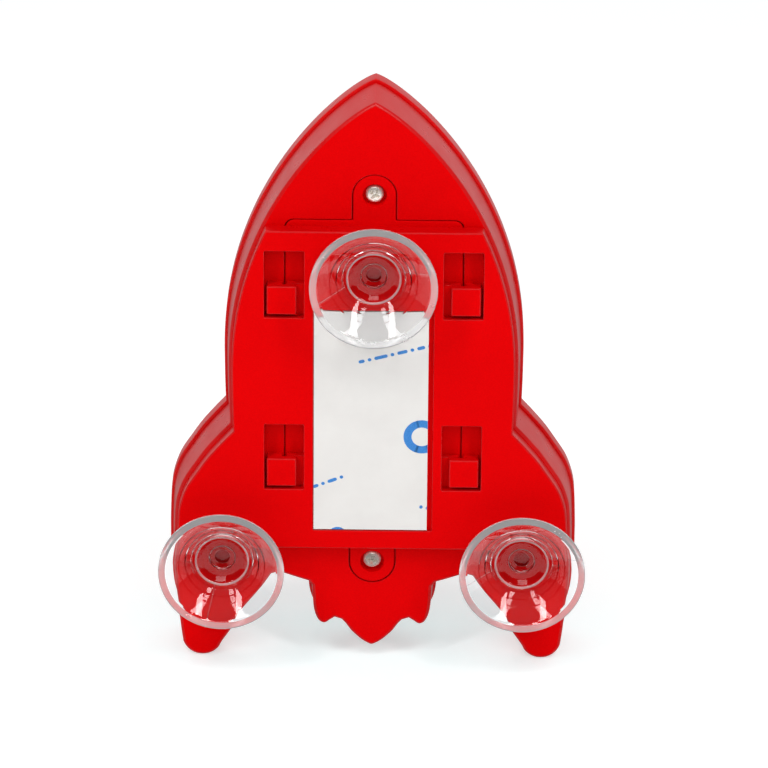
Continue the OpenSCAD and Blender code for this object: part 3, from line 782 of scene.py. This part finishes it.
def strip(prof, ang, w, h, out_sign, bm, x, z, r_min):
    """Raised mould line along a profile, at one angle."""
    c, s_ = math.cos(ang), math.sin(ang)
    secs = []
    for i, (r, hh) in enumerate(prof):
        if r < r_min:
            continue
        a = prof[max(0, i - 1)]; b = prof[min(len(prof) - 1, i + 1)]
        t = Vector((b[0] - a[0], b[1] - a[1]))
        if t.length < 1e-6:
            continue
        t.normalize()
        nrm = Vector((t.y, -t.x)) * out_sign
        ring_ = []
        for du, dn in ((-w / 2, -0.03), (w / 2, -0.03), (w / 4, h), (-w / 4, h)):
            rr, h2 = r + nrm.x * dn, hh + nrm.y * dn
            ring_.append(bm.verts.new(Vector((x + rr * c - du * s_, YB + h2, z + rr * s_ + du * c)) * MM))
        secs.append(ring_)
    for a, b in zip(secs, secs[1:]):
        for i in range(4):
            bm.faces.new((a[i], a[(i + 1) % 4], b[(i + 1) % 4], b[i]))
    if len(secs) > 1:
        bm.faces.new(secs[0][::-1]); bm.faces.new(secs[-1])


LINES = {"cup_top": (165.0, 342.0), "cup_left": (164.0, 346.0), "cup_right": (106.0, 285.0)}
for body, (x, z) in CUPS.items():
    bm = bmesh.new()
    prof = smooth_profile(OUTER_PROF, OUTER_R) + smooth_profile(INNER_PROF, INNER_R)[1:]
    add_lathe(bm, prof, x, z, 128)
    po = smooth_profile(OUTER_PROF, OUTER_R)
    for a in LINES[body]:
        strip(po, math.radians(a), 0.26, 0.09, 1, bm, x, z, 7.5)
    cup = finish_mesh(bm, body + "_moulding", [clear, pvc_painted_glint], sharp=50, weighted=False)
    for f in cup.data.polygons:
        c_ = f.center / MM
        rr = math.hypot(c_.x - x, c_.z - z)
        # rim band and bead ring take the milky copy: painted glint for their white internal reflection and highlight
        if (rr > 18.2 and c_.y > YB + 15.6) or (8.1 < rr < 8.8 and c_.y > YB + 8.2):
            f.material_index = 1
    node = {"cup_top": "suction_cup_top", "cup_left": "suction_cup_left", "cup_right": "suction_cup_right"}[body]
    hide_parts(node)
    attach(cup, body)

# ---------------------------------------------------------------------------
# door screws: pan heads with a cross recess
# ---------------------------------------------------------------------------
def pan_screw(bm, x, z, top, r, h, shank, length, turn):
    """Pan head whose top is at height top over the back face."""
    prof = [(0, top)] + [(r * (0.62 + 0.38 * math.sin(math.radians(a))) if a > 0 else r * 0.62, top - h * 0.12 - h * 0.5 * (1 - math.cos(math.radians(a)))) for a in range(0, 91, 10)]
    prof += [(r, top - h), (shank, top - h), (shank, top - h - length), (0, top - h - length - shank)]
    add_lathe(bm, prof, x, z, 64)


def cross_cut(x, z, top, r, turn):
    """Tapered cross that is cut out of a head."""
    bm = bmesh.new()
    w0, w1, l0, l1, d = 0.52, 0.34, r * 0.74, r * 0.26, 1.4
    for k in (0, 1):
        a = turn + k * math.pi / 2
        c, s_ = math.cos(a), math.sin(a)
        vs = []
        for (l, w, h) in ((l0, w0, top + 0.3), (l1, w1, top - d)):
            for u, v in ((-l, -w), (l, -w), (l, w), (-l, w)):
                vs.append(bm.verts.new(Vector((x + u * c - v * s_, YB + h, z + u * s_ + v * c)) * MM))
        for f in ((0, 1, 2, 3), (7, 6, 5, 4), (0, 4, 5, 1), (1, 5, 6, 2), (2, 6, 7, 3), (3, 7, 4, 0)):
            bm.faces.new([vs[i] for i in f])
    bmesh.ops.recalc_face_normals(bm, faces=bm.faces)
    me = bpy.data.meshes.new("cut")
    bm.to_mesh(me); bm.free()
    ob = bpy.data.objects.new("cut", me)
    scene.collection.objects.link(ob)
    return ob


def apply_all(ob):
    dg = bpy.context.evaluated_depsgraph_get()
    me = bpy.data.meshes.new_from_object(ob.evaluated_get(dg))
    old = ob.data
    ob.modifiers.clear()
    ob.data = me
    bpy.data.meshes.remove(old)


for k, (z, turn) in enumerate(((SCREWS[0], 0.55), (SCREWS[1], 0.2))):
    bm = bmesh.new()
    pan_screw(bm, 0, z, -0.95, 2.9, 1.85, 1.42, 8.4, turn)
    ob = finish_mesh(bm, f"door_screw_{k + 1}", nickel, sharp=40, weighted=False)
    cut = cross_cut(0, z, -0.95, 2.9, turn)
    md = ob.modifiers.new("cut", "BOOLEAN")
    md.operation = "DIFFERENCE"; md.solver = "EXACT"; md.use_self = True; md.object = cut
    bpy.context.view_layer.update()
    apply_all(ob)
    bpy.data.objects.remove(cut)
    if not ob.data.materials:
        ob.data.materials.append(nickel)
    ob.data.polygons.foreach_set("use_smooth", [True] * len(ob.data.polygons))
    ob.data.set_sharp_from_angle(angle=math.radians(35))
    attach(ob, "rocket")
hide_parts("door_screws")

# ---------------------------------------------------------------------------
# front lens and its ring
# ---------------------------------------------------------------------------
m, nt, bs = new_mat("milky_lens")
n = tex_noise(nt, 70, 3, 0.5)
nt.links.new(ramp(nt, n.outputs["Fac"], [(0.3, (0.86, 0.84, 0.78)), (0.7, (0.93, 0.92, 0.87))]), bs.inputs["Base Color"])
bs.inputs["Subsurface Weight"].default_value = 0.6
bs.inputs["Subsurface Scale"].default_value = 0.003
bs.inputs["Roughness"].default_value = 0.28
f = tex_noise(nt, 1800, 2, 0.5)
nt.links.new(bump(nt, f.outputs["Fac"], 0.12, 0.00006), bs.inputs["Normal"])
lens_mat = m

bm = bmesh.new()
LR = 20.7
dome = [(LR * math.cos(math.radians(a)), -(27.6 + 3.2 * math.sin(math.radians(a)))) for a in range(0, 91, 5)]
inner_dome = [(18.9 * math.cos(math.radians(a)), -(26.2 + 2.7 * math.sin(math.radians(a)))) for a in range(85, -1, -5)]
prof = [(18.9, -22.3), (23, -22.3), (23, -23.9), (LR, -23.9)] + dome[:-1] + [(0, -30.8)]
add_lathe(bm, [(0, -28.9)] + inner_dome + prof, 0, LENS_Z, 96)
add_lathe(bm, [(0, -25.45), (2.2, -25.45), (2.2, -29.0), (0, -29.0)], 0, LENS_Z, 32)
lens = finish_mesh(bm, "lens_dome", lens_mat, sharp=40)
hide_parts("push_lens")
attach(lens, "push_lens")

bm = bmesh.new()
rim = smooth_profile([(21.0, -24.2), (21.9, -24.2), (21.95, -27.55), (25.4, -27.55), (25.4, -28.5), (24.3, -30.4), (22.6, -30.98), (21.3, -30.6), (21.0, -29.8), (21.0, -24.2)],
                     [0, 0.1, 0.05, 0.2, 0.5, 1.2, 0.8, 0.4, 0.3, 0])
add_lathe(bm, rim[:-1], 0, LENS_Z, 128)
bezel = finish_mesh(bm, "bezel_ring", silver, sharp=40)
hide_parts("lens_bezel")
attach(bezel, "rocket")

# ---------------------------------------------------------------------------
# inner pieces keep their shape and get their finish
# ---------------------------------------------------------------------------
def dress(node, mat):
    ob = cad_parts[node]
    ob.data.materials.clear()
    ob.data.materials.append(mat)


black = moulded("black_nylon", (0.02, 0.02, 0.022), 0.42, 1.0, 0.5, 0.1)
white = moulded("white_pc", (0.82, 0.82, 0.8), 0.3, 0.6, 0.5, 0.02)
wire_r = moulded("wire_red", (0.55, 0.02, 0.02), 0.4, 0.3, 0.5, 0.05)
wire_b = moulded("wire_black", (0.015, 0.015, 0.015), 0.4, 0.3, 0.5, 0.1)
led_m = moulded("led_resin", (0.85, 0.83, 0.66), 0.12, 0.1, 0.5, 0.02)
m, nt, bs = new_mat("board_mask")
n = tex_noise(nt, 300, 5, 0.6)
nt.links.new(ramp(nt, n.outputs["Fac"], [(0.35, (0.01, 0.09, 0.03)), (0.65, (0.02, 0.17, 0.06))]), bs.inputs["Base Color"])
bs.inputs["Roughness"].default_value = 0.35
nt.links.new(bump(nt, n.outputs["Fac"], 0.3, 0.0001), bs.inputs["Normal"])
board_m = m
m, nt, bs = new_mat("cell_film")
tc = coords(nt)
sep = nt.nodes.new("ShaderNodeSeparateXYZ")
nt.links.new(tc, sep.inputs[0])
ab = nt.nodes.new("ShaderNodeMath"); ab.operation = "ABSOLUTE"
nt.links.new(sep.outputs["X"], ab.inputs[0])
nt.links.new(ramp(nt, rng(nt, ab.outputs[0], 0.0, 0.026, 0, 1), [(0.0, (0.02, 0.02, 0.025)), (0.62, (0.025, 0.025, 0.03)), (0.64, (0.55, 0.3, 0.06)), (0.95, (0.6, 0.34, 0.08))]), bs.inputs["Base Color"])
bs.inputs["Metallic"].default_value = 0.5
n = tex_noise(nt, 500, 3, 0.5)
nt.links.new(rng(nt, n.outputs["Fac"], 0.3, 0.7, 0.2, 0.35), bs.inputs["Roughness"])
nt.links.new(bump(nt, n.outputs["Fac"], 0.1, 0.0001), bs.inputs["Normal"])
cell_m = m
for node, mat in {"casing_screws": nickel, "board_screws": nickel, "battery_1": cell_m, "battery_2": cell_m, "battery_3": cell_m,
                  "battery_4": cell_m, "negative_springs": spring_metal, "positive_contacts": spring_metal, "return_spring": spring_metal,
                  "circuit_board": board_m, "leds": led_m, "switch_body": black, "switch_plunger": white, "reflector": white,
                  "red_wire": wire_r, "black_wire": wire_b}.items():
    dress(node, mat)

# ---------------------------------------------------------------------------
# stage, light and camera
# ---------------------------------------------------------------------------
FLOOR_LIT, SKY_BACK, SKY_FRONT, STRIP, FRONT = 0.50, 0.8, 0.28, 9.4, 6.4
SKY_TOP = 0.32
NEAR_R_PAINTED_SHADE = 0.675
# pale sweep: low shading on a lit sheet, so shadows stay soft; less red glow in an oval round the object's foot is
# painted shade that cancels the red bounce light, so shadows stay neutral
m, nt, bs = new_mat("paper_sweep")
n = tex_noise(nt, 3, 2, 0.5)
nt.links.new(ramp(nt, n.outputs["Fac"], [(0.3, (0.68, 0.71, 0.71)), (0.7, (0.70, 0.73, 0.73))]), bs.inputs["Base Color"])
bs.inputs["Roughness"].default_value = 0.9
bs.inputs["Specular IOR Level"].default_value = 0.0
tc = nt.nodes.new("ShaderNodeTexCoord")
mp = nt.nodes.new("ShaderNodeMapping")
mp.inputs["Location"].default_value = (0.0, 0.0, 0.0)
mp.inputs["Scale"].default_value = (1 / 0.11, 1 / 0.085, 1.0)
nt.links.new(tc.outputs["Object"], mp.inputs["Vector"])
ln = nt.nodes.new("ShaderNodeVectorMath"); ln.operation = "LENGTH"
nt.links.new(mp.outputs[0], ln.inputs[0])
# painted shade: red emission lowered in an oval round the object's foot, cancelling the red bounce light
nt.links.new(ramp(nt, ln.outputs["Value"], [(0.0, (NEAR_R_PAINTED_SHADE, 1.0, 1.0)), (0.2, (NEAR_R_PAINTED_SHADE, 1.0, 1.0)), (1.0, (1.0, 1.0, 1.0))]), bs.inputs["Emission Color"])
bs.inputs["Emission Strength"].default_value = FLOOR_LIT
for name, y0, y1 in (("floor_back", -6, 0.055), ("floor_front", 0.055, 6)):
    bm = bmesh.new()
    v = [bm.verts.new(Vector(p)) for p in ((-6, y0, 0), (6, y0, 0), (6, y1, 0), (-6, y1, 0))]
    bm.faces.new(v)
    floor = finish_mesh(bm, name, m, weighted=False)
    floor.visible_glossy = False

# sky: bright behind the object, dim in front and below
w = bpy.data.worlds.new("studio")
scene.world = w
w.use_nodes = True
nt = w.node_tree
bg = nt.nodes["Background"]
tc = nt.nodes.new("ShaderNodeTexCoord")
sep = nt.nodes.new("ShaderNodeSeparateXYZ")
nt.links.new(tc.outputs["Generated"], sep.inputs[0])
mixn = nt.nodes.new("ShaderNodeMath"); mixn.operation = "MULTIPLY_ADD"
nt.links.new(sep.outputs["Y"], mixn.inputs[0]); mixn.inputs[1].default_value = 1.0
up = nt.nodes.new("ShaderNodeMath"); up.operation = "MULTIPLY"
nt.links.new(sep.outputs["Z"], up.inputs[0]); up.inputs[1].default_value = -0.55
nt.links.new(up.outputs[0], mixn.inputs[2])
nt.links.new(ramp(nt, rng(nt, mixn.outputs[0], -1.0, 1.0, 0, 1), [(0.0, (SKY_BACK,) * 3), (0.06, (SKY_BACK,) * 3), (0.2, (SKY_TOP,) * 3), (0.62, (SKY_FRONT,) * 3), (0.8, (0.03, 0.03, 0.03)), (1.0, (0.01, 0.01, 0.01))]), bg.inputs[0])
bg.inputs[1].default_value = 1.0


def area(name, loc, aim, size, power):
    l = bpy.data.lights.new(name, "AREA")
    l.shape = "RECTANGLE"
    l.size, l.size_y = size
    l.energy = power
    ob = bpy.data.objects.new(name, l)
    ob.location = loc
    ob.rotation_euler = (Vector(aim) - Vector(loc)).to_track_quat("-Z", "Y").to_euler()
    scene.collection.objects.link(ob)
    return ob


area("strip_left", (0.70, 0.80, 1.28), (0, 0, 0.1), (0.2, 1.1), STRIP)
area("strip_right", (-0.70, 0.80, 1.28), (0, 0, 0.1), (0.2, 1.1), STRIP)
area("front", (0, 2.2, 1.35), (0, 0, 0.1), (1.0, 0.6), FRONT)

elev, azim, roll = math.radians(24), math.radians(0.41), math.radians(0.456)
target = Vector((-0.00344, 0.007, 0.0986))
dist = 5500 / 3.1 * MM
d = Vector((-math.sin(azim) * math.cos(elev), math.cos(azim) * math.cos(elev), math.sin(elev)))
cam = bpy.data.cameras.new("camera")
cam.sensor_width = 36
cam.lens = 5500 * 36 / 768
cam.clip_end = 50
cam.dof.use_dof = False
camera = bpy.data.objects.new("camera", cam)
scene.collection.objects.link(camera)
camera.location = target + d * dist
q = (-d).to_track_quat("-Z", "Y") @ Quaternion((0, 0, 1), roll)
camera.rotation_euler = q.to_euler()
scene.camera = camera
scene.view_settings.view_transform = "Standard"
scene.view_settings.look = "None"

bpy.context.view_layer.update()
